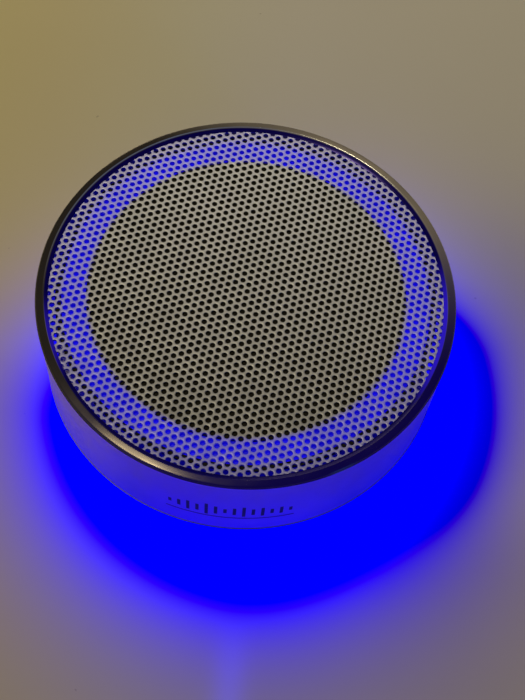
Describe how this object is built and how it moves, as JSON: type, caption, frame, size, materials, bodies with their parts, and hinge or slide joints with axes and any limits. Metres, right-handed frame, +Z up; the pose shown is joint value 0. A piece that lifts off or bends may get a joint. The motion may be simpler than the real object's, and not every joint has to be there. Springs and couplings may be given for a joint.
{
  "type": "round wireless speaker",
  "caption": "Low round wireless speaker: satin metal sleeve, polished bevelled rim, flush perforated metal top with a blue light ring behind it, glowing recessed base, rear ports and buttons",
  "frame": {"origin": "centre of the foot's underside, on the table", "axes": "+Z up along the axis of the body, -Y the etched front, +Y the side with ports and buttons"},
  "size_m": [0.08, 0.08, 0.028],
  "materials": {
    "satin_metal": "satin silver coat on an aluminium wall",
    "polished_metal": "polished and bevelled",
    "grille_metal": "warm light grey, fine satin",
    "black_cloth": "woven",
    "frosted_acrylic": "frosted, lit blue",
    "clear_acrylic": "clear",
    "black_plastic": "fine texture",
    "panel_black": "satin",
    "button_grey": "satin",
    "white_board": "white solder mask",
    "green_board": "green solder mask",
    "flex_amber": "polyimide film",
    "led_white": "moulded package",
    "black_rubber": "soft matte",
    "steel": "plated",
    "pressed_steel": "black coat on pressed steel",
    "foam": "closed-cell foam",
    "brass_tabs": "tinned brass",
    "ferrite": "ground ferrite",
    "resin_cloth": "resin-set weave",
    "former_paper": "thin film",
    "copper": "enamelled winding",
    "cone_paper": "pressed pulp",
    "shielded_module": "tinned can",
    "ceramic_parts": "sintered",
    "battery_foil": "laminated foil",
    "wire_red": "insulated",
    "wire_black": "insulated",
    "wire_white": "insulated"
  },
  "bodies": {
    "base": {"housing_sleeve": "satin_metal", "top_bezel": "polished_metal", "grille": "grille_metal", "acoustic_cloth": "black_cloth", "top_light_guide": "frosted_acrylic", "guide_retainer": "black_plastic", "light_board": "white_board", "ring_leds": "led_white", "base_light_guide": "frosted_acrylic", "inner_frame": "black_plastic", "bottom_cover": "black_plastic", "rubber_foot": "black_rubber", "cover_screws": "steel", "board_screws": "steel", "driver_screws": "steel", "driver_basket": "pressed_steel", "driver_gasket": "foam", "driver_terminals": "brass_tabs", "magnet": "ferrite", "magnet_top_plate": "steel", "magnet_yoke": "steel", "spider": "resin_cloth", "surround": "black_rubber", "main_board": "green_board", "bluetooth_chip": "shielded_module", "amplifier_chip": "black_plastic", "board_parts": "ceramic_parts", "usb_socket": "steel", "aux_jack": "black_plastic", "power_switch": "steel", "port_panel": "panel_black", "key_board": "flex_amber", "key_switches": "steel", "microphone": "brass_tabs", "status_led": "led_white", "status_light_pipe": "clear_acrylic", "battery": "battery_foil", "battery_board": "green_board", "battery_pad": "foam", "battery_leads": "wire_red", "speaker_leads": "wire_black", "led_leads": "wire_white", "key_leads": "wire_white"},
    "cone_unit": {"cone": "cone_paper", "dust_cap": "cone_paper", "coil_former": "former_paper", "coil_winding": "copper"},
    "switch": {"switch_knob": "black_plastic"},
    "previous": {"button_previous": "button_grey"},
    "play": {"button_play": "button_grey"},
    "next": {"button_next": "button_grey"}
  },
  "joints": [
    {"name": "cone_excursion", "type": "slide", "parent": "base", "child": "cone_unit", "axis": [0, 0, 1], "range_m": [-0.0008, 0.0008], "stiffness_N_per_m": 1500, "deforming": ["surround", "spider"]},
    {"name": "power_slide", "type": "slide", "parent": "base", "child": "switch", "axis": [1, 0, 0], "range_m": [0, 0.002]},
    {"name": "previous_press", "type": "slide", "parent": "base", "child": "previous", "axis": [-0.2419, -0.9703, 0], "range_m": [0, 0.0003], "stiffness_N_per_m": 3000},
    {"name": "play_press", "type": "slide", "parent": "base", "child": "play", "axis": [0, -1, 0], "range_m": [0, 0.0003], "stiffness_N_per_m": 3000},
    {"name": "next_press", "type": "slide", "parent": "base", "child": "next", "axis": [0.2419, -0.9703, 0], "range_m": [0, 0.0003], "stiffness_N_per_m": 3000}
  ]
}
